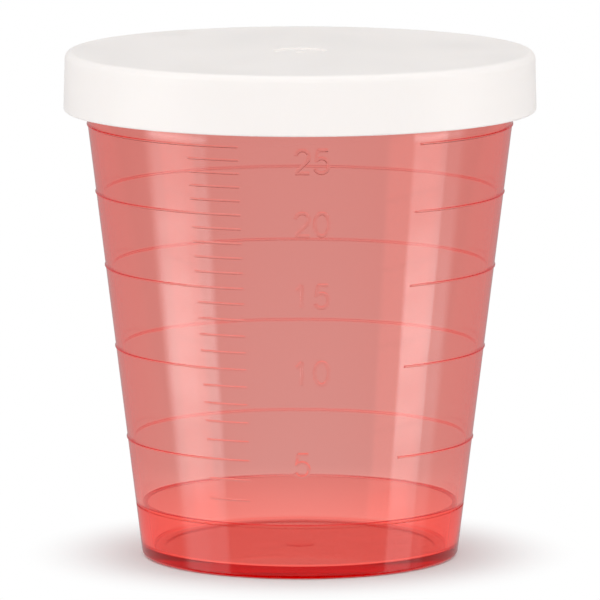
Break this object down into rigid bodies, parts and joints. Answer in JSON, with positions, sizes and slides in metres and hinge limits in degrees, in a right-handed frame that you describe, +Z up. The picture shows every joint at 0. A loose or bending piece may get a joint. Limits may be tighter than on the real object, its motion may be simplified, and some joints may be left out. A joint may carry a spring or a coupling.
{
  "type": "medicine cup",
  "caption": "Tapered see-through measuring cup with raised millilitre marks, a thicker foot below an inner step, and a push-on snap lid.",
  "frame": {"origin": "centre of the standing face", "axes": "+Z up along the cup's axis, through the middle of the lid; the scale faces -Y, with the numerals in the middle of the front and the short marks at the viewer's left, towards -X"},
  "size_m": [0.04, 0.04, 0.043],
  "materials": {
    "cup_plastic": "clear red-tinted polypropylene, injection moulded, polished",
    "lid_plastic": "white polyethylene, injection moulded, satin"
  },
  "bodies": {
    "root": {"cup": "cup_plastic", "lid": "lid_plastic"}
  },
  "joints": []
}
